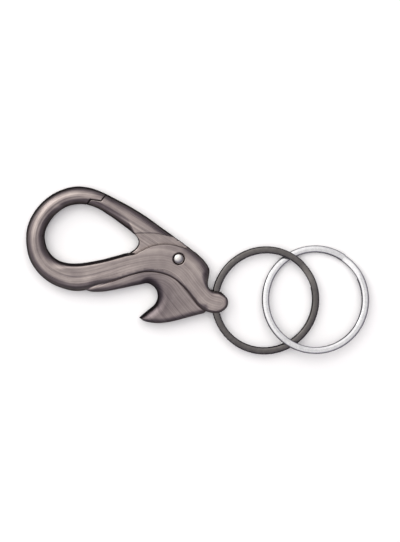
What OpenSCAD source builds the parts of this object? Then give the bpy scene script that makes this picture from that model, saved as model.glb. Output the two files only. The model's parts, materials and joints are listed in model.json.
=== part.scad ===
// Carabiner bottle opener with two linked split rings, lying flat on its face.
// The outlines are drawn about the gate's pivot; placed() then moves everything to the row's origin.

/* [Body] */
// Thickness of the casting
thickness = 7; // [6.8:0.1:7.6]
// Rounding of the casting's edges
edge_round = 1.2; // [0.8:0.1:1.4]
// Radius of the cap notch
notch_r = 4.0; // [3.6:0.1:4.2]
// Width of the slot that the gate's tongue swings in
slot_w = 3.2; // [3:0.1:3.6]
// Radius of the key ring's eye
eye_r = 1.9; // [1.8:0.05:2]

/* [Gate] */
// Clearance on each side of the tongue
tongue_gap = 0.2; // [0.15:0.05:0.3]
// Radius of the pivot pin
pin_r = 1.5; // [1.3:0.1:1.6]
// Radial clearance of the gate on its pin
pin_gap = 0.06; // [0.03:0.01:0.1]
// Gap at the nose lap
lap_gap = 0.12; // [0.08:0.02:0.2]

/* [Spring] */
// Wire of the gate spring
spring_wire = 0.3; // [0.25:0.05:0.4]
// Outside diameter of the gate spring
spring_d = 2.7; // [2.2:0.1:2.8]
// Length of the gate spring with the gate shut
spring_len = 5.2; // [4.8:0.1:5.3]

/* [Key rings] */
// Outside diameter of both split rings
ring_d = 32; // [31:0.5:32]
// Radial width of the ring's wire
ring_band = 2; // [1.6:0.1:2]
// Thickness of one turn of the ring's wire
ring_turn = 0.87; // [0.7:0.01:0.88]
// Gap between a ring's two turns
turn_gap = 0.06; // [0.04:0.01:0.08]

/* [Hidden] */
$fn = 96;
middle = thickness / 2;
edge_steps = 2;
curve_steps = 4;

// The eye of the tail, and the two rings that hang in it and in each other.
eye = [11, -13.1];
lug_half = 3;
ring_mid_r = (ring_d - ring_band) / 2;
ring_1_at = [eye.x + ring_mid_r, eye.y, middle];
ring_link = 15;
ring_2_at = ring_1_at + [ring_link, 0, 0];
ring_2_tilt = 9.2;

// The row's origin, measured from the pivot: under the middle of the whole object's box.
loop_left = -43.7;
loop_top = 20.9;
row_origin = [(loop_left + ring_2_at.x + ring_d / 2) / 2, (loop_top + eye.y - ring_d / 2) / 2, 0];

// The plate's outside, from the cheek's top edge anticlockwise round the loop, along the crease above the
// claw, round the eye lug and up the tail's edge.
plate_edge = [
    [0.5, 5.1], [-4.4, 8.6], [-9, 12], [-13.6, 14.9], [-18.2, 17.4], [-21.5, 19.1], [-25, 20.4],
    [-29, 20.9], [-33.2, 20], [-37.2, 17.9], [-40.6, 14.6], [-43, 10.3], [-43.7, 5.8], [-42.9, 0.6],
    [-40.4, -3.7], [-36.4, -7], [-31, -9], [-26.6, -8.9], [-22.4, -7.4], [-18.6, -6.1], [-13.8, -4.5],
    [-9.3, -3.6], [-4.7, -4.2], [-1.2, -5.8], [1.7, -8.5], [4, -11.5], [6.3, -14.3], [9, -15.9],
    [12.1, -16], [14.3, -14.3], [14.3, -11.9], [12.4, -10.3], [10, -9.8], [8.7, -8.2], [9, -5.9],
    [9.2, -3.4], [7.8, -1], [5.9, 0.9], [3.9, 2.6], [2.2, 3.9]];
// The bar's underside beside the claw, and the claw's underside from its tip to the foot of the eye lug.
bar_underside = [[-28, -7.8], [-25.8, -9.2], [-22, -9.4], [-17.5, -8.7], [-13.4, -7.9]];
claw_underside = [[-11.2, -17.5], [-9.4, -18.4], [-5.7, -18.9], [-1.4, -18.4], [3.4, -17.2], [8, -16.1]];
// The loop's window.
window_edge = [
    [-38.4, 6.4], [-37.5, 2.7], [-35.2, 0], [-32, -1.4], [-28.2, -1.6], [-22.8, -0.8], [-18.2, 0.3],
    [-15, 1.2], [-12.4, 2.6], [-11.3, 4.6], [-12.5, 6.9], [-15.9, 9.7], [-20, 12.7], [-23.2, 14.7],
    [-26.5, 15.8], [-30, 15.8], [-33.3, 14.6], [-36, 12.2], [-37.8, 9.3]];
// The top edge of the cheeks and the shoulder where the gate's rod ends.
cheek_edge = [[-15.2, 1.1], [-12.6, 1.5], [-10.9, 2.4], [-7.7, 3.8], [-4, 4.3], [-0.9, 3.9], [2.3, 2.9]];
shoulder = [[-13.2, 7.1], [-12.1, 7.5], [-9.5, 7.5], [-6.5, 7.4], [-3.6, 6.7], [-2, 6.3]];

notch_at = [-9.8, -11.2];
// How far the claw's faces lie below the plate's.
claw_step = 0.6;

// Radii about the pivot: the nose's end face and the foot of the lap behind it.
nose_r = 28.05;
lap_r = 30.85;
lap_line = [[-20, 16.75], [-27.5, 17.75]];
tongue_edge = [[-14, 9], [-14.2, 4], [-13.6, 1.7], [-3.4, -1.9], [0, 0], [2.2, 4.7], [-2, 7.4], [-6, 9]];
heel_r = 5.1;
slot_heel_r = 5.35;
// The tongue's slot, seen from the face: its mouth, its lower left side and its floor.
slot_edge = [[-14.6, 14], [-14.6, 0], [-14.2, -2.6], [-13.5, -4.4], [-3.5, -3.6], [0, 0], [0, 14]];

// The spring stands on the floor of its pocket and pushes the tongue's lower edge, square to it.
spring_top = [-5.7, -1.09];
spring_turn = 250.6;
pin_recess = 0.35;
pin_recess_depth = 0.3;

// A point on a Catmull-Rom curve between b and c.
function between(a, b, c, d, t) =
    0.5 * (2 * b + (c - a) * t + (2 * a - 5 * b + 4 * c - d) * t * t + (3 * b - a - 3 * c + d) * t * t * t);

function open_curve(p) = let (n = len(p)) concat(
    [for (i = [0 : n - 2], s = [0 : curve_steps - 1])
        between(p[max(i - 1, 0)], p[i], p[i + 1], p[min(i + 2, n - 1)], s / curve_steps)],
    [p[n - 1]]);

function closed_curve(p) = let (n = len(p))
    [for (i = [0 : n - 1], s = [0 : curve_steps - 1])
        between(p[(i + n - 1) % n], p[i], p[(i + 1) % n], p[(i + 2) % n], s / curve_steps)];

module placed() translate(-row_origin) children();

// A plate standing from z = 0 to height. Its edges are rounded off in thin layers, each as wide as the
// rounding's arc is at the middle of that layer.
module rounded_plate(height) for (k = [0 : edge_steps]) {
    share = 90 / (edge_steps + 1);
    base = k == 0 ? 0 : edge_round * (1 - cos((k - 0.5) * share));
    translate([0, 0, base]) linear_extrude(height - 2 * base)
        offset(delta = -edge_round * (1 - sin((k + 0.5) * share))) children();
}

module plate_shape() difference() {
    polygon(closed_curve(plate_edge));
    polygon(closed_curve(window_edge));
}

// The band below the crease, with the cap notch between the bar and the claw.
module claw_shape() polygon(concat(
    open_curve(bar_underside),
    [for (a = [90 : -9 : -45]) notch_at + notch_r * [cos(a), sin(a)]],
    open_curve(claw_underside),
    [[9.4, -14], [7, -11.4], [2, -5], [-8, -1.4], [-20, -4]]));

// What lies on the far side of the nose lap from the body, within reach r of the pivot.
module gate_side(gap) {
    circle(nose_r - gap, $fn = 240);
    intersection() {
        circle(lap_r - 2 * gap, $fn = 240);
        polygon([lap_line[0] - [0, gap], lap_line[1] - [0, gap], [-34, 10], [-20, 5]]);
    }
}

// Everything above the cheeks' top edge, where only the gate is.
module above(edge) polygon(concat([[-34, 8]], open_curve(edge), [[6, 6], [-6, 26], [-34, 26]]));

module slot_shape() {
    circle(slot_heel_r);
    polygon(slot_edge);
    translate(spring_top) rotate(spring_turn) translate([0, -spring_d / 2 - 0.2])
        square([spring_len + 0.05, spring_d + 0.4]);
}

module opener_body() placed() color([0.55, 0.52, 0.51]) difference() {
    union() {
        rounded_plate(thickness) difference() {
            plate_shape();
            intersection() {
                gate_side(0);
                above(cheek_edge);
            }
        }
        translate([0, 0, claw_step]) linear_extrude(thickness - 2 * claw_step) claw_shape();
    }
    translate([0, 0, middle - slot_w / 2]) linear_extrude(slot_w) slot_shape();
    translate([0, 0, -1]) cylinder(r = pin_r, h = thickness + 2);
    for (z = [-1, thickness - pin_recess_depth])
        translate([0, 0, z]) cylinder(r = pin_r + pin_recess, h = 1 + pin_recess_depth);
    translate([eye.x, eye.y + lug_half + 0.5, middle]) rotate([90, 0, 0])
        cylinder(r = eye_r, h = 2 * lug_half + 1);
}

module gate() placed() color([0.58, 0.55, 0.54]) difference() {
    union() {
        rounded_plate(thickness) intersection() {
            plate_shape();
            gate_side(lap_gap);
            above(shoulder);
        }
        translate([0, 0, middle - slot_w / 2 + tongue_gap]) linear_extrude(slot_w - 2 * tongue_gap)
            tongue_shape();
    }
    translate([0, 0, -1]) cylinder(r = pin_r + pin_gap, h = thickness + 2);
}

module tongue_shape() {
    intersection() {
        plate_shape();
        polygon(tongue_edge);
        union() {
            circle(heel_r);
            translate([-20, -5]) square([20, 20]);
        }
    }
    circle(heel_r - 0.8);
}

module pivot_pin() placed() color([0.92, 0.92, 0.9]) rotate_extrude() polygon([
    [0, 0.05], [pin_r * 0.6, 0.1], [pin_r, pin_recess_depth], [pin_r, thickness - pin_recess_depth],
    [pin_r * 0.6, thickness - 0.1], [0, thickness - 0.05]]);

// A closed helix of round wire, standing from z = 0 to height.
module coil(height, outside_d, wire_d, turns) {
    sides = 8;
    per_turn = 14;
    rings = turns * per_turn;
    r = (outside_d - wire_d) / 2;
    climb = (height - wire_d) / turns;
    points = [for (i = [0 : rings], k = [0 : sides - 1])
        let (a = 360 * i / per_turn, w = 360 * k / sides, out = r + wire_d / 2 * cos(w))
        [out * cos(a), out * sin(a), wire_d / 2 + climb * i / per_turn + wire_d / 2 * sin(w)]];
    walls = [for (i = [0 : rings - 1], k = [0 : sides - 1]) let (
        here = i * sides,
        beyond = here + sides,
        next = (k + 1) % sides)
        [here + next, beyond + next, beyond + k, here + k]];
    ends = [[for (k = [sides - 1 : -1 : 0]) k], [for (k = [0 : sides - 1]) rings * sides + k]];
    polyhedron(points, concat(walls, ends), convexity = 6);
}

module gate_spring() placed() color([0.8, 0.8, 0.78]) translate([spring_top.x, spring_top.y, middle])
    rotate([0, 0, spring_turn]) rotate([0, 90, 0]) translate([0, 0, 0.05])
        coil(spring_len - 0.1, spring_d, spring_wire, 5);

// A split ring about z = 0: two turns of flat wire, with one sloping stretch of ramp_span between them.
module split_ring(ramp_at) {
    ramp_span = 30;
    step = 7.5;
    rise = (ring_turn + turn_gap) / 2;
    angles = [ramp_span / 2 : step : 720 - ramp_span / 2];
    stations = len([for (a = angles) a]);
    points = [for (a = angles, corner = [[0, 0], [1, 0], [1, 1], [0, 1]]) let (
        past = min(max((a - 360) / ramp_span + 0.5, 0), 1),
        r = ring_mid_r + (corner[0] - 0.5) * ring_band,
        z = rise * (1 - 2 * past * past * (3 - 2 * past)) + (corner[1] - 0.5) * ring_turn)
        [r * cos(a), r * sin(a), z]];
    walls = [for (i = [0 : stations - 2], k = [0 : 3])
        [i * 4 + k, i * 4 + (k + 1) % 4, (i + 1) * 4 + (k + 1) % 4, (i + 1) * 4 + k]];
    last = (stations - 1) * 4;
    rotate(ramp_at) polyhedron(points, concat(walls, [[3, 2, 1, 0], [last, last + 1, last + 2, last + 3]]));
}

module key_ring_1() placed() color([0.34, 0.33, 0.33]) translate(ring_1_at) split_ring(30);

module key_ring_2() placed() color([0.86, 0.87, 0.88]) translate(ring_2_at)
    rotate([-ring_2_tilt, 0, 0]) split_ring(40);

opener_body();
gate();
pivot_pin();
gate_spring();
key_ring_1();
key_ring_2();
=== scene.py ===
import json
import math

import bpy
import numpy as np
from mathutils import Matrix, Vector
from mathutils.geometry import delaunay_2d_cdt


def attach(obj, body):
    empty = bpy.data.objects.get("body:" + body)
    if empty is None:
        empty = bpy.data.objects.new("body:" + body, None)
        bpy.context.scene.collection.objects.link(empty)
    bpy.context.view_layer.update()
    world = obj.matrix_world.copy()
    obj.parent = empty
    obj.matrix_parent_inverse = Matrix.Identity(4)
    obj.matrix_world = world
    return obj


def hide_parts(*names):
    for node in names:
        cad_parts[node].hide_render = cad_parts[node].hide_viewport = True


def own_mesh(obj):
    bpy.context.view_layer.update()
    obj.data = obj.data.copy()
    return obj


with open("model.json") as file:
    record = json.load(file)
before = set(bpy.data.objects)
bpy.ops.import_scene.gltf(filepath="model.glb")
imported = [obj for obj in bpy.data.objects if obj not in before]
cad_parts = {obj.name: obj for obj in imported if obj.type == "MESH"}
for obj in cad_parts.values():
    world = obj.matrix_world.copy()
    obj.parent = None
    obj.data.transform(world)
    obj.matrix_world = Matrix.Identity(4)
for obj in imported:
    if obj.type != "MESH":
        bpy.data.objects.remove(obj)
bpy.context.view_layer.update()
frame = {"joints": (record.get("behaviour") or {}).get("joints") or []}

# Sizes. The outlines are in millimetres about the gate's pivot, as in the CAD source.

JOINTS = {j["name"]: j for j in frame["joints"]}
PIVOT = np.array(JOINTS["gate_hinge"]["pos_m"]) * 1000
EYE = np.array(JOINTS["dark_ring_swing"]["pos_m"]) * 1000 - PIVOT
MIDDLE = 3.5  # half the casting's thickness, and the height of its middle

PLATE_EDGE = [
    (0.5, 5.1), (-4.4, 8.6), (-9, 12), (-13.6, 14.9), (-18.2, 17.4), (-21.5, 19.1), (-25, 20.4),
    (-29, 20.9), (-33.2, 20), (-37.2, 17.9), (-40.6, 14.6), (-43, 10.3), (-43.7, 5.8), (-42.9, 0.6),
    (-40.4, -3.7), (-36.4, -7), (-31, -9), (-26.6, -8.9), (-22.4, -7.4), (-18.6, -6.1), (-13.8, -4.5),
    (-9.3, -3.6), (-4.7, -4.2), (-1.2, -5.8), (1.7, -8.5), (4, -11.5), (6.3, -14.3), (9, -15.9),
    (12.1, -16), (14.3, -14.3), (14.3, -11.9), (12.4, -10.3), (10, -9.8), (8.7, -8.2), (9, -5.9),
    (9.2, -3.4), (7.8, -1), (5.9, 0.9), (3.9, 2.6), (2.2, 3.9)]
WINDOW_EDGE = [
    (-38.4, 6.4), (-37.5, 2.7), (-35.2, 0), (-32, -1.4), (-28.2, -1.6), (-22.8, -0.8), (-18.2, 0.3),
    (-15, 1.2), (-12.4, 2.6), (-11.3, 4.6), (-12.5, 6.9), (-15.9, 9.7), (-20, 12.7), (-23.2, 14.7),
    (-26.5, 15.8), (-30, 15.8), (-33.3, 14.6), (-36, 12.2), (-37.8, 9.3)]
BAR_UNDERSIDE = [(-28, -7.8), (-25.8, -9.2), (-22, -9.4), (-17.5, -8.7), (-13.4, -7.9)]
CLAW_UNDERSIDE = [(-11.2, -17.5), (-9.4, -18.4), (-5.7, -18.9), (-1.4, -18.4), (3.4, -17.2), (8, -16.1)]
CLAW_BACK = [(9.4, -14), (7, -11.4), (2, -5), (-8, -1.4), (-20, -4)]
NOTCH_AT, NOTCH_R = (-9.8, -11.2), 4.0
CHEEK_EDGE = [(-15.2, 1.1), (-12.6, 1.5), (-10.9, 2.4), (-7.7, 3.8), (-4, 4.3), (-0.9, 3.9), (2.3, 2.9)]
SHOULDER = [(-13.2, 7.1), (-12.1, 7.5), (-9.5, 7.5), (-6.5, 7.4), (-3.6, 6.7), (-2, 6.3)]
NOSE_R, LAP_R, LAP_GAP = 28.05, 30.85, 0.12
LAP_LINE = [(-20, 16.75), (-27.5, 17.75)]
SLOT_EDGE = [(-14.6, 14), (-14.6, 0), (-14.2, -2.6), (-13.5, -4.4), (-3.5, -3.6), (0, 0), (0, 14)]
SLOT_HEEL_R, SLOT_W, TONGUE_GAP = 5.35, 3.2, 0.2
TONGUE = [(-14, 9), (-14.2, 4), (-13.6, 1.7), (-3.4, -1.9), (0, 0), (2.2, 4.7), (-2, 7.4), (-6, 9)]
HEEL_R, HEEL_CORE_R = 5.1, 4.3
SPRING_TOP, SPRING_TURN, SPRING_LEN, SPRING_D, SPRING_WIRE = (-5.7, -1.09), 250.6, 5.2, 2.7, 0.3
PIN_R, PIN_GAP, RECESS, RECESS_DEPTH = 1.5, 0.06, 0.35, 1.0
EYE_R, EYE_FLARE, EYE_HALF_LENGTH = 1.9, 0.55, 2.5
CROWN, EDGE_DEPTH = 2.75, 2.45  # how wide and how deep the loop's edges are rounded at most
BAND_STEP = 0.6  # how far the claw's band lies below the plate
CUT_WIDE, CUT_DEEP = 0.3, 0.28  # the rounding where the casting or the gate was cut
BLEND = 0.3  # how softly the plate runs into the band
THINNEST = 0.3  # the least half thickness anywhere
TONGUE_INSET = 0.06
ON_LINE = 0.01  # points nearer than this to a line are on it
SPINE = [
    (-20, 17), (-25, 18.1), (-29.5, 18.3), (-33.2, 17.3), (-36.6, 15), (-39.3, 11.9), (-40.8, 8.2),
    (-41, 4.4), (-39.8, 0.6), (-37.4, -2.3), (-34, -4.3), (-30, -5.2), (-25.6, -4.8), (-20, -3.4),
    (-14, -1.6), (-8, -0.4), (-3, -0.8), (1.5, -3.5), (5, -8), (8.5, -12), (12, -13.2)]
ROD = [(-32, 18.6), (-25, 17.6), (-20.5, 15.6), (-15, 12.2), (-8, 7.6), (0, 2)]
RING_MID_R, RING_BAND, RING_TURN, TURN_GAP = 15.0, 2.0, 0.87, 0.06
RING_LINK, RING_2_TILT = 15.0, -9.2
SQUARENESS = 0.62  # of the rings' flat wire: 1 is an ellipse and 0 a rectangle


# Curves and distances


def curve(points, closed=False, steps=10):
    """Points along a Catmull-Rom curve through the given ones."""
    p = np.array(points, float)
    n = len(p)
    out = []
    for i in range(n if closed else n - 1):
        at = [(i + k) % n if closed else min(max(i + k, 0), n - 1) for k in (-1, 0, 1, 2)]
        a, b, c, d = p[at]
        for s in range(steps):
            t = s / steps
            out.append(0.5 * (2 * b + (c - a) * t + (2 * a - 5 * b + 4 * c - d) * t ** 2
                              + (3 * b - a - 3 * c + d) * t ** 3))
    if not closed:
        out.append(p[-1])
    return np.array(out)


def spaced(points, gap, closed=False):
    """The same line with a point about every gap."""
    p = np.vstack([points, points[:1]]) if closed else np.array(points, float)
    run = np.concatenate([[0], np.cumsum(np.linalg.norm(np.diff(p, axis=0), axis=1))])
    count = max(int(round(run[-1] / gap)), 3 if closed else 1)
    at = np.linspace(0, run[-1], count + 1)
    out = np.column_stack([np.interp(at, run, p[:, 0]), np.interp(at, run, p[:, 1])])
    return out[:-1] if closed else out


def arc(centre, r, start, end, gap=0.3):
    count = max(int(abs(math.radians(end - start)) * r / gap), 4)
    a = np.radians(np.linspace(start, end, count + 1))
    return np.column_stack([centre[0] + r * np.cos(a), centre[1] + r * np.sin(a)])


def segments(points, closed=False):
    p = np.asarray(points, float)
    return (p, np.roll(p, -1, axis=0)) if closed else (p[:-1], p[1:])


def distance(q, segs):
    """How far each point of q is from the nearest of the segments."""
    a, b = segs
    out = np.full(len(q), 1e9)
    d = b - a
    length = np.maximum((d ** 2).sum(1), 1e-12)
    for lo in range(0, len(q), 2000):
        part = q[lo:lo + 2000, None, :]
        t = np.clip(((part - a) * d).sum(2) / length, 0, 1)
        out[lo:lo + 2000] = np.sqrt((((part - a) - t[..., None] * d) ** 2).sum(2).min(1))
    return out


def inside(q, loop):
    """Which points of q are inside the closed loop."""
    x, y = q[:, 0, None], q[:, 1, None]
    a, b = np.asarray(loop, float), np.roll(loop, -1, axis=0)
    crosses = (a[:, 1] > y) != (b[:, 1] > y)
    rise = np.where(b[:, 1] == a[:, 1], 1, b[:, 1] - a[:, 1])
    at = a[:, 0] + (y - a[:, 1]) / rise * (b[:, 0] - a[:, 0])
    return (crosses & (x < at)).sum(1) % 2 == 1


def ease(x, start, end):
    t = np.clip((x - start) / (end - start), 0, 1)
    return t * t * (3 - 2 * t)


# The lines that the casting and the gate share

plate_loop = spaced(curve(PLATE_EDGE, True), 0.3, True)
window_loop = spaced(curve(WINDOW_EDGE, True), 0.3, True)
claw_line = spaced(np.vstack([
    curve(BAR_UNDERSIDE), arc(NOTCH_AT, NOTCH_R, 90, -45)[1:], curve(CLAW_UNDERSIDE)]), 0.25)
claw_loop = np.vstack([claw_line, CLAW_BACK])
crease = plate_loop[(plate_loop[:, 0] > -27) & (plate_loop[:, 0] < 8) & (plate_loop[:, 1] < -3)]
plate_segs = segments(plate_loop, True)
window_segs = segments(window_loop, True)
claw_segs = segments(claw_line)
notch_segs = segments(np.vstack([arc(NOTCH_AT, NOTCH_R, 75, -45), CLAW_UNDERSIDE[:1]]))
spine_line = spaced(curve(SPINE), 0.6)
rod_line = spaced(curve(ROD), 0.6)
claw_start = segments(np.array([CLAW_BACK[-2], CLAW_BACK[-1], BAR_UNDERSIDE[0]]))
claw_finish = segments(np.array([CLAW_UNDERSIDE[-1], CLAW_BACK[0], CLAW_BACK[1]]))


def in_plate(q):
    return inside(q, plate_loop) & ~inside(q, window_loop)


def on_gate_side(q, gap):
    """Which points are on the gate's side of the stepped lap, and at least the gap away from it."""
    r = np.hypot(q[:, 0], q[:, 1])
    lap = np.array([(LAP_LINE[0][0], LAP_LINE[0][1] - gap), (LAP_LINE[1][0], LAP_LINE[1][1] - gap),
                    (-34, 10), (-20, 5)])
    return (r < NOSE_R - gap) | ((r < LAP_R - 2 * gap) & inside(q, lap))


def above(edge):
    """A loop from that edge up and round the side of the gate."""
    return np.vstack([[(-34, 8)], spaced(curve(edge), 0.3), [(6, 6), (-6, 26), (-34, 26)]])


cheek_loop = above(CHEEK_EDGE)
shoulder_loop = above(SHOULDER)


def lap_lines(gap):
    """The stepped lap's three lines, that far on the gate's side."""
    return [
        (arc((0, 0), NOSE_R - gap, 128, 156), False),
        (arc((0, 0), LAP_R - 2 * gap, 140, 156), False),
        (spaced(np.array(LAP_LINE, float) - (0, gap), 0.3), False)]


# Meshes made from a flat region with a height


def triangulate(lines, loose, keep):
    """Flat triangles over the kept region, with every line as an edge."""
    points, edges = [], []
    for line, closed in lines:
        start = len(points)
        points += [Vector(p) for p in line]
        edges += [(start + i, start + i + 1) for i in range(len(line) - 1)]
        if closed:
            edges.append((start + len(line) - 1, start))
    points += [Vector(p) for p in loose]
    made = delaunay_2d_cdt(points, edges, [], 0, 1e-5)
    verts = np.array([tuple(v) for v in made[0]])
    faces = np.array([f for f in made[2] if len(f) == 3])
    return verts, faces[keep(verts[faces].mean(1))]


def border(verts, faces):
    """The region's border edges, each with the region on its left."""
    a, b, c = verts[faces[:, 0]], verts[faces[:, 1]], verts[faces[:, 2]]
    turn = (b[:, 0] - a[:, 0]) * (c[:, 1] - a[:, 1]) - (b[:, 1] - a[:, 1]) * (c[:, 0] - a[:, 0])
    faces = np.where(turn[:, None] < 0, faces[:, ::-1], faces)
    edges = np.vstack([faces[:, [0, 1]], faces[:, [1, 2]], faces[:, [2, 0]]])
    there = set(map(tuple, edges.tolist()))
    return faces, np.array([e for e in edges.tolist() if (e[1], e[0]) not in there])


# Rows of points at these distances inside a region's border, and a net of points in the rest of it
ROWS = (0.015, 0.05, 0.11, 0.19, 0.3, 0.45, 0.66, 0.95, 1.3, 1.7, 2.15, 2.6)
NET = 0.55


def thinned(points, gap):
    """The points in order, without those nearer than gap to an earlier one."""
    cells, out = {}, []
    for p in points:
        key = (int(p[0] // gap), int(p[1] // gap))
        near = [q for i in (-1, 0, 1) for j in (-1, 0, 1)
                for q in cells.get((key[0] + i, key[1] + j), ())]
        if all((p[0] - q[0]) ** 2 + (p[1] - q[1]) ** 2 >= gap * gap for q in near):
            cells.setdefault(key, []).append(p)
            out.append(p)
    return out


def relief(name, lines, keep, height, rows=ROWS, extra=()):
    """A solid over the kept region, and its border's edges.

    height gives half its thickness, from the points and the border's edges. extra holds more lines of
    points that the mesh runs through.
    """
    verts, faces = triangulate(lines, (), keep)
    faces, edge = border(verts, faces)
    start, end = verts[edge[:, 0]], verts[edge[:, 1]]
    along = end - start
    along /= np.maximum(np.linalg.norm(along, axis=1), 1e-9)[:, None]
    inward = np.column_stack([-along[:, 1], along[:, 0]])
    at = (start + end) / 2
    loose = []
    for row in rows:
        q = at + inward * row
        far = distance(q, (start, end))
        loose += thinned(q[(far > row * 0.96) & keep(q)], max(min(row * 0.55, 0.3), 0.1))
    lo, hi = verts.min(0), verts.max(0)
    xs, ys = np.arange(lo[0], hi[0], NET), np.arange(lo[1], hi[1], NET)
    net = np.array([(x + (NET / 2 if k % 2 else 0), y) for k, y in enumerate(ys) for x in xs])
    net = net[keep(net)]
    net = net[distance(net, (start, end)) > rows[-1] + NET * 0.4]
    for line in extra:
        loose += [p for p in line if keep(np.array([p]))[0]]
    if len(extra):
        marked = np.vstack(list(extra))
        net = net[distance(net, (marked, marked)) > NET * 0.6]
    verts, faces = triangulate(lines, list(loose) + list(net), keep)
    faces, edge = border(verts, faces)
    used = np.unique(faces)
    index = np.full(len(verts), -1)
    index[used] = np.arange(len(used))
    verts, faces, edge = verts[used], index[faces], index[edge]
    h = height(verts, (verts[edge[:, 0]], verts[edge[:, 1]]))
    n = len(verts)
    solid = np.vstack([np.column_stack([verts, MIDDLE + h]), np.column_stack([verts, MIDDLE - h])])
    front, back = [tuple(f) for f in faces], [tuple(f[::-1] + n) for f in faces]
    sides = [(a + n, b + n, b, a) for a, b in edge]
    return mesh_object(name, solid, front + back + sides), (verts[edge[:, 0]], verts[edge[:, 1]])


def mesh_object(name, points, faces):
    """An object in the row frame, from points in millimetres about the pivot and above the floor."""
    place = np.array([PIVOT[0], PIVOT[1], 0])
    mesh = bpy.data.meshes.new(name)
    mesh.from_pydata(((np.asarray(points) + place) / 1000).tolist(), [], faces)
    mesh.validate()
    mesh.update()
    made = bpy.data.objects.new(name, mesh)
    bpy.context.scene.collection.objects.link(made)
    return made


def prism(name, outline, low, high):
    """An upright prism with that outline."""
    n = len(outline)
    points = [(*p, low) for p in outline] + [(*p, high) for p in outline]
    sides = [(i, (i + 1) % n, (i + 1) % n + n, i + n) for i in range(n)]
    return mesh_object(name, points, [tuple(range(n))[::-1], tuple(range(n, 2 * n))] + sides)


def combine(obj, tool, operation):
    """obj joined with the tool, or cut by it; the tool is used up."""
    step = obj.modifiers.new("step", "BOOLEAN")
    step.operation, step.object, step.solver = operation, tool, "EXACT"
    graph = bpy.context.evaluated_depsgraph_get()
    mesh = bpy.data.meshes.new_from_object(obj.evaluated_get(graph))
    obj.modifiers.clear()
    obj.data = mesh
    mesh.name = obj.name
    bpy.data.objects.remove(tool)


def about_pivot(mesh):
    """The mesh's points in millimetres about the pivot."""
    co = np.zeros(len(mesh.vertices) * 3)
    mesh.vertices.foreach_get("co", co)
    return co.reshape(-1, 3) * 1000 - (PIVOT[0], PIVOT[1], 0)


def smooth(obj, angle=38):
    obj.data.shade_smooth()
    obj.data.set_sharp_from_angle(angle=math.radians(angle))


def shade(obj, height, edges, angle=38):
    """Normals from the height itself where the mesh lies on it, and level ones at the walls.

    The rest keeps the mesh's own normals. A corner that leans far from its face keeps them too.
    """
    smooth(obj, angle)
    mesh = obj.data
    co = about_pivot(mesh)
    q, back = np.unique(co[:, :2].round(5), axis=0, return_inverse=True)
    back = back.ravel()
    e = 0.004  # the step for the slopes
    h = height(q, edges)
    slope_x = (height(q + (e, 0), edges) - height(q - (e, 0), edges)) / (2 * e)
    slope_y = (height(q + (0, e), edges) - height(q - (0, e), edges)) / (2 * e)
    near = distance(q, edges)
    usable = (near > ON_LINE) & (distance(q, segments(crease)) > 0.04)
    a, b = edges
    out = np.column_stack([(b - a)[:, 1], -(b - a)[:, 0]])
    out /= np.linalg.norm(out, axis=1)[:, None]
    level = np.zeros((len(q), 2))
    for i in np.nonzero(near <= ON_LINE)[0]:
        from_ends = np.minimum(np.linalg.norm(a - q[i], axis=1), np.linalg.norm(b - q[i], axis=1))
        touching = from_ends < ON_LINE
        mean = out[touching].mean(0) if touching.any() else np.zeros(2)
        level[i] = mean / np.linalg.norm(mean) if np.linalg.norm(mean) > 0.9 else 0
    side = np.sign(co[:, 2] - MIDDLE)
    on_face = usable[back] & (np.abs(np.abs(co[:, 2] - MIDDLE) - h[back]) < 0.02)
    normal = np.column_stack([-slope_x[back], -slope_y[back], side])
    normal /= np.linalg.norm(normal, axis=1)[:, None]
    normal[~on_face] = 0
    wall = (near <= ON_LINE)[back]
    normal[wall] = np.column_stack([level[back], np.zeros(len(back))])[wall]
    corners = np.zeros(len(mesh.loops), int)
    mesh.loops.foreach_get("vertex_index", corners)
    flat = np.zeros(len(mesh.polygons) * 3)
    mesh.polygons.foreach_get("normal", flat)
    count = np.zeros(len(mesh.polygons), int)
    mesh.polygons.foreach_get("loop_total", count)
    flat = np.repeat(flat.reshape(-1, 3), count, axis=0)
    custom = normal[corners]
    custom[(custom * flat).sum(1) < 0.6] = 0
    mesh.normals_split_custom_set(custom.tolist())


# The casting's and the gate's faces


def drop(d, wide, deep, power=2.05):
    """How far a rounded edge lies below its face at distance d from the edge."""
    t = np.clip(1 - d / np.maximum(wide, 1e-6), 0, 1)
    return deep * (1 - np.maximum(1 - t ** power, 0) ** (1 / power))


def bell(x, width):
    return np.exp(-(x / width) ** 2)


def off_line(q, line):
    """The distance from the line, which is negative on its right."""
    a, b = segments(line)
    d, out = b - a, np.zeros(len(q))
    for lo in range(0, len(q), 2000):
        v = q[lo:lo + 2000, None, :] - a
        t = np.clip((v * d).sum(2) / (d ** 2).sum(1), 0, 1)
        off = v - t[..., None] * d
        near, row = (off ** 2).sum(2).argmin(1), np.arange(len(v))
        off = off[row, near]
        turn = d[near, 0] * off[:, 1] - d[near, 1] * off[:, 0]
        out[lo:lo + 2000] = np.sign(turn) * np.linalg.norm(off, axis=1)
    return out


def swell(q):
    """The slight unevenness of a hand-polished casting, as a depth."""
    x, y = q[:, 0], q[:, 1]
    return 0.04 * (2 + np.sin(0.36 * x + 0.42 * y + 2.2) + np.sin(0.27 * x - 0.5 * y + 0.6))


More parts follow.
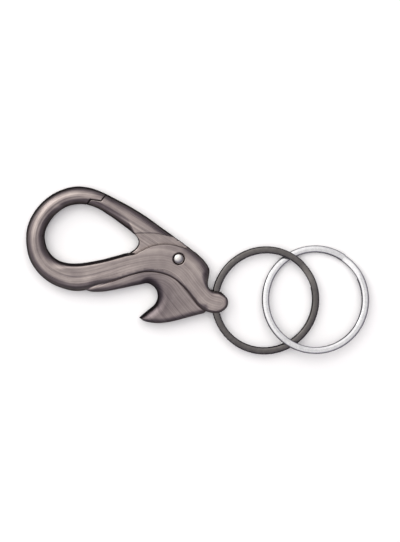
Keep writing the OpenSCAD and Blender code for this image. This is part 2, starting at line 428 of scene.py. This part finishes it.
def plate_face(q):
    """Half the plate's thickness: a crowned bar round the loop, and flat with round edges at the cheeks."""
    out, win = distance(q, plate_segs), distance(q, window_segs)
    x, y = q[:, 0], q[:, 1]
    half = np.maximum((out + win) / 2, 0.2)
    rod = ease(y + 0.55 * x, -4.5, -1.5)
    cheek = ease(x, -27, -15) * (1 - rod)
    tail = ease(x, 0, 5) * (1 - rod)
    cap_out = CROWN - 1.75 * cheek - 0.45 * cheek * (y < 0) * (1 - tail)
    cap_win = CROWN - 2.25 * np.maximum(ease(x, -38, -30) * (1 - rod), ease(x, -15, -12.2))
    wide_out, wide_win = np.minimum(half, cap_out), np.minimum(half, cap_win)
    lap = ease(x, -29, -26) * (y > 8)
    bar_flute = 0.05 * bell(off_line(q, spine_line) - 0.25, 0.32) * (1 - ease(x, -20, -9)) * (1 - lap)
    rod_flute = 0.08 * bell(off_line(q, rod_line) + 0.75, 0.35) * rod * lap
    edges = drop(out, wide_out, np.minimum(EDGE_DEPTH, 0.97 * wide_out)) \
        + drop(win, wide_win, np.minimum(EDGE_DEPTH, 0.97 * wide_win))
    return MIDDLE - edges - (bar_flute + rod_flute) - swell(q)


def claw_face(q):
    """Half the thickness of the band below the crease, rounded most at the notch and at its two ends."""
    h = MIDDLE - BAND_STEP - swell(q)
    for line, wide, deep, power in ((claw_segs, 1.8, 0.95, 2.0), (notch_segs, 2.4, 1.2, 1.6),
                                    (claw_start, 2.4, 1.6, 2.0), (claw_finish, 1.6, 1.2, 2.0)):
        h = h - drop(distance(q, line), wide, deep, power)
    groove = 0.22 * bell(distance(q, segments(crease)), 0.13) * ease(q[:, 0], -25, -18)
    return np.where(inside(q, claw_loop) | (distance(q, claw_segs) < ON_LINE), h - groove, 0)


def cuts(border_segs):
    """The border's edges at the casting's and the gate's cuts, without the outlines and the pin's hole."""
    a, b = border_segs
    mid = (a + b) / 2
    own = np.min([distance(mid, segs) for segs in (plate_segs, window_segs, claw_segs)], axis=0)
    cut = (own > 0.03) & (np.hypot(mid[:, 0], mid[:, 1]) > 2.2)
    return a[cut], b[cut]


def body_height(q, edges):
    """Half the casting's thickness: the plate and the band blended, with the cuts' edges and the recess."""
    rim = np.minimum(distance(q, plate_segs), distance(q, window_segs)) < ON_LINE
    plate = np.where(in_plate(q) | rim, plate_face(q), 0)
    claw = claw_face(q)
    h = np.maximum(plate, claw) + np.maximum(BLEND - np.abs(plate - claw), 0) ** 2 / (4 * BLEND)
    h = h - drop(distance(q, cuts(edges)), CUT_WIDE, CUT_DEEP)
    r = np.hypot(q[:, 0], q[:, 1])
    h = h - RECESS_DEPTH * np.clip((PIN_R + RECESS - r) / RECESS, 0, 1) ** 1.2 \
        - 0.05 * (1 - ease(r, PIN_R + RECESS, PIN_R + RECESS + 0.14))
    return np.maximum(h, THINNEST)


def in_body(q):
    metal = in_plate(q) | (inside(q, claw_loop) & ~inside(q, window_loop))
    return metal & ~(on_gate_side(q, 0) & inside(q, cheek_loop)) & (np.hypot(q[:, 0], q[:, 1]) > PIN_R)


def circle(r, count=72):
    return arc((0, 0), r, 0, 360, 2 * math.pi * r / count)[:-1]


def beside(line, gaps):
    """Copies of the line at those distances on its left."""
    step = np.gradient(line, axis=0)
    step /= np.linalg.norm(step, axis=1)[:, None]
    return [line + gap * np.column_stack([-step[:, 1], step[:, 0]]) for gap in gaps]


crease_rows = beside(crease, (0.4, 0.22, 0.1, -0.07, -0.14, -0.22, -0.36, -0.6))
flute_rows = beside(spaced(spine_line, 0.3), np.arange(-0.75, 1.3, 0.2))
rod_rows = beside(spaced(rod_line, 0.3), np.arange(-1.7, 0.3, 0.2))
recess_rows = [circle(PIN_R + RECESS + k) for k in (-0.25, -0.16, -0.08, -0.03, 0.01, 0.08, 0.16)]
crease_start = [[(x, y) for y in np.arange(-9.2, -5.4, 0.2)] for x in np.arange(-29, -17, 0.2)]

body, body_edges = relief(
    "opener_casting",
    [(plate_loop, True), (window_loop, True), (claw_line, False), (spaced(cheek_loop, 0.3, True), True),
     (circle(PIN_R), True), *lap_lines(0)],
    in_body, body_height, extra=[*crease_rows, *flute_rows, *recess_rows, *crease_start])

slot_low, slot_high = MIDDLE - SLOT_W / 2, MIDDLE + SLOT_W / 2
turn = math.radians(SPRING_TURN)
spring_axis = np.array([math.cos(turn), math.sin(turn)])
spring_side = np.array([-spring_axis[1], spring_axis[0]])
reach, half_wide = SPRING_LEN + 0.05, 1.55
pocket = [np.array(SPRING_TOP) + spring_axis * u + spring_side * v
          for u, v in ((0, -half_wide), (reach, -half_wide), (reach, half_wide), (0, half_wide))]
for name, outline in (("slot", SLOT_EDGE), ("slot_heel", circle(SLOT_HEEL_R, 96)), ("pocket", pocket)):
    combine(body, prism(name, outline, slot_low, slot_high), "DIFFERENCE")


def turned(name, profile, count, axis="Z", centre=(0, 0, 0)):
    """A solid of revolution from (radius, height) points that start and end on the axis."""
    points, faces = [], []
    for r, z in profile[1:-1]:
        for i in range(count):
            a = 2 * math.pi * i / count
            points.append((r * math.cos(a), r * math.sin(a), z))
    rows = len(profile) - 2
    low, high = len(points), len(points) + 1
    points += [(0, 0, profile[0][1]), (0, 0, profile[-1][1])]
    for k in range(rows - 1):
        for i in range(count):
            j = (i + 1) % count
            faces.append((k * count + i, k * count + j, (k + 1) * count + j, (k + 1) * count + i))
    for i in range(count):
        j = (i + 1) % count
        faces.append((low, j, i))
        faces.append((high, (rows - 1) * count + i, (rows - 1) * count + j))
    p = np.array(points)
    if axis == "Y":
        p = p[:, [0, 2, 1]] * (1, 1, -1)
    return mesh_object(name, p + np.array(centre), faces)


flare = [(EYE_R + EYE_FLARE * (1 - math.sqrt(1 - (1 - t) ** 2)), EYE_HALF_LENGTH + EYE_FLARE * (1 - t))
         for t in (0.0, 0.1, 0.3, 0.6, 1.0)]
mouth = [(0, 4.5), (EYE_R + EYE_FLARE, 4.5)] + flare
eye_profile = [(r, -y) for r, y in mouth] + mouth[::-1]
combine(body, turned("eye", eye_profile, 64, "Y", (EYE[0], EYE[1], MIDDLE)), "DIFFERENCE")
shade(body, body_height, body_edges)


def in_gate(q):
    return in_plate(q) & on_gate_side(q, LAP_GAP) & inside(q, shoulder_loop)


def gate_height(q, edges):
    return np.maximum(plate_face(q) - drop(distance(q, cuts(edges)), CUT_WIDE, CUT_DEEP), THINNEST)


gate, gate_edges = relief(
    "sprung_gate",
    [(plate_loop, True), (window_loop, True), (spaced(shoulder_loop, 0.3, True), True),
     *lap_lines(LAP_GAP)],
    in_gate, gate_height, extra=rod_rows)

# The tongue's edges lie just inside the gate's own, so that no two walls coincide.
tongue_outside = beside(plate_loop, [TONGUE_INSET])[0]
tongue_window = beside(window_loop, [-TONGUE_INSET])[0]
tongue_loop = np.array(TONGUE, float)


def in_tongue(q):
    r = np.hypot(q[:, 0], q[:, 1])
    heel = (r < HEEL_R) | ((q[:, 0] < 0) & (q[:, 1] > -5) & (q[:, 1] < 15))
    within = inside(q, tongue_outside) & ~inside(q, tongue_window)
    return (within & inside(q, tongue_loop) & heel) | (r < HEEL_CORE_R)


def tongue_height(q, edges):
    return SLOT_W / 2 - TONGUE_GAP - drop(distance(q, edges), 0.25, 0.25)


tongue, _ = relief(
    "tongue",
    [(tongue_outside, True), (tongue_window, True), (spaced(tongue_loop, 0.3, True), True),
     (circle(HEEL_CORE_R), True), (circle(HEEL_R), True), (spaced([(0, -5), (0, 8)], 0.3), False)],
    in_tongue, tongue_height, rows=ROWS[:5])
combine(gate, tongue, "UNION")
combine(gate, prism("bore", circle(PIN_R + PIN_GAP), -1, 8), "DIFFERENCE")
shade(gate, gate_height, gate_edges, 55)

# The pin, the spring and the rings

dome = [(0, 0.03), (0.35, 0.045), (0.7, 0.09), (1.0, 0.165), (1.22, 0.26), (1.38, 0.38), (1.47, 0.52),
        (PIN_R, 0.7)]
pin = turned("pivot_rivet", dome + [(r, 2 * MIDDLE - z) for r, z in dome[::-1]], 72)
smooth(pin, 45)


def sweep(name, centres, outs, ups, profile):
    """A closed tube: the profile's (out, up) points carried along the centres."""
    n, m = len(centres), len(profile)
    points = [c + o * u + w * v for c, o, w in zip(centres, outs, ups) for u, v in profile]
    faces = [(i * m + k, i * m + (k + 1) % m, (i + 1) * m + (k + 1) % m, (i + 1) * m + k)
             for i in range(n - 1) for k in range(m)]
    faces += [tuple(range(m))[::-1], tuple((n - 1) * m + k for k in range(m))]
    return mesh_object(name, points, faces)


def spring():
    """A coil along its axis from the top, with a closed turn at each end."""
    turns, per_turn, end_turn, end_gap = 5, 36, 0.9, 0.05
    r = (SPRING_D - SPRING_WIRE) / 2
    low = end_gap + SPRING_WIRE / 2
    rise = SPRING_LEN - 2 * low
    closed = SPRING_WIRE * 1.02 * end_turn
    t = np.linspace(0, turns, turns * per_turn + 1)
    along = low + np.interp(t, [0, end_turn, turns - end_turn, turns], [0, closed, rise - closed, rise])
    far, side, up = np.append(spring_axis, 0), np.append(spring_side, 0), np.array([0, 0, 1.0])
    a = 2 * math.pi * t
    outs = np.cos(a)[:, None] * side + np.sin(a)[:, None] * up
    centres = np.array([*SPRING_TOP, MIDDLE]) + along[:, None] * far + r * outs
    profile = [(SPRING_WIRE / 2 * math.cos(b), SPRING_WIRE / 2 * math.sin(b))
               for b in np.linspace(0, 2 * math.pi, 11)[:-1]]
    return sweep("gate_coil_spring", centres, outs, np.tile(far, (len(t), 1)), profile)


coil = spring()
smooth(coil, 60)


def rounded(x):
    return math.copysign(abs(x) ** SQUARENESS, x)


def split_ring(name, centre, ramp_at, tilt):
    """Two turns of rounded flat wire with one sloping stretch between them, at ramp_at degrees."""
    span, step, corners = 30.0, 2.5, 28
    angle = np.arange(span / 2, 720 - span / 2 + 0.01, step)
    past = np.clip((angle - 360) / span + 0.5, 0, 1)
    z = (RING_TURN + TURN_GAP) / 2 * (1 - 2 * past * past * (3 - 2 * past))
    a = np.radians(angle + ramp_at)
    outs = np.column_stack([np.cos(a), np.sin(a), np.zeros(len(a))])
    ups = np.tile([0, 0, 1.0], (len(a), 1))
    centres = outs * RING_MID_R + z[:, None] * ups
    spin = np.array(Matrix.Rotation(math.radians(tilt), 3, "X"))
    profile = [(RING_BAND / 2 * rounded(math.cos(w)), RING_TURN / 2 * rounded(math.sin(w)))
               for w in (2 * math.pi * k / corners for k in range(corners))]
    return sweep(name, centres @ spin.T + centre, outs @ spin.T, ups @ spin.T, profile)


ring_1_at = np.array([EYE[0] + RING_MID_R, EYE[1], MIDDLE])
ring_2_at = ring_1_at + (RING_LINK, 0, 0)
ring_1 = split_ring("dark_split_ring", ring_1_at, 30, 0)
ring_2 = split_ring("bright_split_ring", ring_2_at, 40, RING_2_TILT)
smooth(ring_1, 50)
smooth(ring_2, 50)

PIECES = [
    (body, "opener", "opener_body", "gunmetal"),
    (pin, "opener", "pivot_pin", "bright_steel"),
    (coil, "opener", "gate_spring", "spring_steel"),
    (gate, "gate", "gate", "gate_gunmetal"),
    (ring_1, "dark_ring", "key_ring_1", "dark_ring"),
    (ring_2, "bright_ring", "key_ring_2", "bright_ring")]
for obj, rides, cad_node, slot in PIECES:
    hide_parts(cad_node)
    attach(obj, rides)
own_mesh(coil)


# What the metal's pattern and its painted shade follow


def add_grain(obj, line):
    """Numbers for the brushed streaks.

    The first is the distance from the centre line, plus half the height so that the sides have streaks
    too. The other two turn about the loop's middle.
    """
    co = about_pivot(obj.data)
    q, z = co[:, :2], co[:, 2]
    across = off_line(q, line) + 0.5 * z
    round_loop = np.arctan2(q[:, 1] - 7.2, q[:, 0] + 27)
    grain = np.column_stack([across, 3 * np.cos(round_loop), 3 * np.sin(round_loop) + 0.3 * z])
    layer = obj.data.attributes.new("grain", "FLOAT_VECTOR", "POINT")
    layer.data.foreach_set("vector", grain.astype(np.float32).ravel())


def add_painted_shade(obj):
    """Painted shade on the casting: how far its colour is darkened, most by the cap notch and a little over
    the rest of the band.
    """
    q = about_pivot(obj.data)[:, :2]
    band = inside(q, claw_loop) & ~in_plate(q)
    # painted shade: the band is darkened a little all over, and most near the cap notch
    dark = np.where(band, 0.25 + 0.55 * bell(distance(q, notch_segs), 3.8), 0)
    layer = obj.data.attributes.new("painted_shade", "FLOAT", "POINT")
    layer.data.foreach_set("value", dark.astype(np.float32))


add_painted_shade(body)
add_grain(body, spine_line)
add_grain(gate, rod_line)


# Materials


def material(name, base, rough, metallic=1.0):
    made = bpy.data.materials.new(name)
    made.use_nodes = True
    shader = made.node_tree.nodes["Principled BSDF"]
    shader.inputs["Base Color"].default_value = (*base, 1)
    shader.inputs["Roughness"].default_value = rough
    shader.inputs["Metallic"].default_value = metallic
    return made, made.node_tree, shader


def node(tree, kind, **values):
    made = tree.nodes.new(kind)
    for key, value in values.items():
        if key in made.inputs:
            made.inputs[key].default_value = value
        else:
            setattr(made, key, value)
    return made


def ramp(tree, source, stops):
    """The source's value, turned into a colour between the stops."""
    made = node(tree, "ShaderNodeValToRGB")
    elements = made.color_ramp.elements
    while len(elements) < len(stops):
        elements.new(0.5)
    for element, (at, colour) in zip(elements, stops):
        element.position = at
        element.color = (*colour, 1)
    tree.links.new(source, made.inputs["Fac"])
    return made.outputs["Color"]


def noise(tree, source, scale, detail, rough=0.5):
    made = node(tree, "ShaderNodeTexNoise", Scale=scale, Detail=detail, Roughness=rough)
    tree.links.new(source, made.inputs["Vector"])
    return made.outputs["Fac"]


def stretched(tree, source, along):
    """The source's vector with its last two numbers made smaller, so that a pattern on it is long."""
    made = node(tree, "ShaderNodeMapping", Scale=(1.0, along, along))
    tree.links.new(source, made.inputs["Vector"])
    return made.outputs["Vector"]


def remap(tree, source, start, end, low=0.0, high=1.0):
    """The source's value, spread from start..end to low..high."""
    limits = {"From Min": start, "From Max": end, "To Min": low, "To Max": high}
    made = node(tree, "ShaderNodeMapRange", **limits)
    tree.links.new(source, made.inputs["Value"])
    return made.outputs["Result"]


def mix(tree, share, first, second, blend="MIX"):
    """Two colours mixed. The share and the second colour may be a value or another node's output."""
    made = node(tree, "ShaderNodeMix", data_type="RGBA", blend_type=blend)
    sockets = made.inputs["Factor"], made.inputs[6], made.inputs[7]
    for value, socket in zip((share, first, second), sockets):
        if isinstance(value, bpy.types.NodeSocket):
            tree.links.new(value, socket)
        else:
            socket.default_value = value
    return made.outputs[2]


def bump(tree, source, strength, deep, under=None):
    """A normal roughened by the source's value, on top of the one under it."""
    made = node(tree, "ShaderNodeBump", Strength=strength, Distance=deep)
    tree.links.new(source, made.inputs["Height"])
    if under:
        tree.links.new(under, made.inputs["Normal"])
    return made.outputs["Normal"]


def gunmetal(name):
    """Warm dark plating with brushed streaks along the bar, broad bands and faint clouds, and painted shade
    by the cap notch.
    """
    made, tree, shader = material(name, (0.36, 0.335, 0.325), 0.3)
    links = tree.links
    grain = node(tree, "ShaderNodeAttribute", attribute_name="grain").outputs["Vector"]
    place = node(tree, "ShaderNodeTexCoord").outputs["Object"]
    streaks = noise(tree, stretched(tree, grain, 0.12), 5.0, 5.0, 0.6)
    bands = noise(tree, stretched(tree, grain, 0.1), 1.3, 2.0)
    clouds = noise(tree, place, 260.0, 3.0, 0.55)
    grit = noise(tree, place, 5200.0, 2.0)
    both = mix(tree, 0.25, mix(tree, 0.5, streaks, bands), clouds)
    colour = ramp(tree, both, [(0.38, (0.231, 0.197, 0.198)), (0.5, (0.35, 0.304, 0.294)),
                               (0.62, (0.498, 0.44, 0.416))])
    painted_shade = node(tree, "ShaderNodeAttribute", attribute_name="painted_shade").outputs["Fac"]
    # painted shade: the colour is multiplied towards a dark blue-grey by the cap notch and over the band
    links.new(mix(tree, painted_shade, colour, (0.36, 0.34, 0.4, 1), "MULTIPLY"), shader.inputs["Base Color"])
    links.new(remap(tree, both, 0.3, 0.7, 0.24, 0.37), shader.inputs["Roughness"])
    brushed = bump(tree, streaks, 0.22, 0.00004)
    wavy = bump(tree, bands, 0.35, 0.00009, brushed)
    links.new(bump(tree, grit, 0.1, 0.00001, wavy), shader.inputs["Normal"])
    return made


def wire_metal(name, dark, light, rough, depth):
    """Plain steel with faint spots in its colour and gloss."""
    made, tree, shader = material(name, light, rough[0])
    links = tree.links
    spots = noise(tree, node(tree, "ShaderNodeTexCoord").outputs["Object"], 900.0, 3.0, 0.6)
    links.new(ramp(tree, spots, [(0.35, dark), (0.65, light)]), shader.inputs["Base Color"])
    links.new(remap(tree, spots, 0.35, 0.65, *rough), shader.inputs["Roughness"])
    links.new(bump(tree, spots, depth, 0.00002), shader.inputs["Normal"])
    return made


body.data.materials.append(gunmetal("gunmetal_plate"))
gate.data.materials.append(gunmetal("gunmetal_gate"))
for obj, name, dark, light, rough, depth in (
        (pin, "polished_rivet", (0.66, 0.65, 0.63), (0.76, 0.75, 0.73), (0.14, 0.22), 0.1),
        (coil, "spring_wire", (0.5, 0.5, 0.48), (0.62, 0.62, 0.6), (0.22, 0.32), 0.1),
        (ring_1, "dark_wire", (0.12, 0.114, 0.112), (0.16, 0.152, 0.15), (0.17, 0.27), 0.05),
        (ring_2, "bright_wire", (0.6, 0.61, 0.635), (0.68, 0.69, 0.71), (0.07, 0.15), 0.08)):
    obj.data.materials.append(wire_metal(name, dark, light, rough, depth))

# The floor, the light and the camera

bpy.ops.mesh.primitive_plane_add(size=6, location=(0, 0, 0))
floor = bpy.context.active_object
floor.name = "floor"
pale, _, _ = material("pale_floor", (0.92, 0.92, 0.92), 0.9, 0.0)
floor.data.materials.append(pale)
floor.visible_glossy = False

# A sky that is dark at the sides and bright overhead, a little to the back and left, and a dark ground
world = bpy.data.worlds.new("studio")
bpy.context.scene.world = world
world.use_nodes = True
tree = world.node_tree
background = tree.nodes["Background"]
way = node(tree, "ShaderNodeTexCoord").outputs["Generated"]
facing = node(tree, "ShaderNodeVectorMath", operation="DOT_PRODUCT")
tree.links.new(way, facing.inputs[0])
facing.inputs[1].default_value = (-0.3, 0.4, 0.866)
sky = ramp(tree, facing.outputs["Value"], [
    (0.0, (0.15, 0.141, 0.16)), (0.15, (0.17, 0.155, 0.185)), (0.34, (0.22, 0.2, 0.24)),
    (0.55, (0.4, 0.375, 0.43)), (0.7, (0.74, 0.71, 0.72)), (0.765, (1.0, 0.965, 0.95)),
    (0.81, (1.2, 1.17, 1.15)), (0.835, (0.85, 0.82, 0.81)), (0.87, (1.35, 1.31, 1.28)),
    (0.93, (1.55, 1.5, 1.46))])
split = node(tree, "ShaderNodeSeparateXYZ")
tree.links.new(way, split.inputs["Vector"])
down = node(tree, "ShaderNodeMath", operation="MULTIPLY")
down.inputs[1].default_value = -1.0
tree.links.new(split.outputs["Z"], down.inputs[0])
ground = ramp(tree, down.outputs["Value"], [
    (0.0, (0.28, 0.27, 0.28)), (0.22, (0.25, 0.24, 0.25)), (0.42, (0.05, 0.045, 0.05)),
    (0.66, (0.012, 0.01, 0.012))])
below = remap(tree, down.outputs["Value"], -0.02, 0.1)
tree.links.new(mix(tree, below, sky, ground), background.inputs["Color"])
background.inputs["Strength"].default_value = 1.0


def area_light(name, at, look, size, power, glossy, colour=(1, 1, 1)):
    data = bpy.data.lights.new(name, "AREA")
    data.shape = "RECTANGLE"
    data.size, data.size_y = size
    data.energy, data.color = power, colour
    made = bpy.data.objects.new(name, data)
    made.location = at
    made.rotation_mode = "QUATERNION"
    made.rotation_quaternion = (Vector(look) - Vector(at)).to_track_quat("-Z", "Y")
    made.visible_glossy = glossy
    bpy.context.scene.collection.objects.link(made)


area_light("overhead", (-0.08, 0.12, 0.5), (0, 0, 0), (0.5, 0.4), 1.6, False)
area_light("strip", (-0.3, 0.3, 0.35), (0, 0, 0), (0.06, 0.5), 0.25, True, (1.0, 0.98, 0.96))

camera_data = bpy.data.cameras.new("camera")
camera = bpy.data.objects.new("camera", camera_data)
bpy.context.scene.collection.objects.link(camera)
bpy.context.scene.camera = camera
camera_data.lens = 100
# It looks down from 0.44 m away, tipped 10 degrees from straight above towards the back and left.
tip, lean, away = math.radians(10), math.radians(135), 0.44
look_from = Vector((math.sin(tip) * math.cos(lean), math.sin(tip) * math.sin(lean), math.cos(tip)))
target = Vector((0.0, 0.0, 0.003))
across = Vector((0, 1, 0)).cross(look_from).normalized()
up = look_from.cross(across).normalized()
turn_matrix = Matrix((across, up, look_from)).transposed()
camera.matrix_world = Matrix.Translation(target + look_from * away) @ turn_matrix.to_4x4()
camera_data.clip_start, camera_data.clip_end = 0.01, 20

bpy.context.scene.view_settings.view_transform = "Standard"
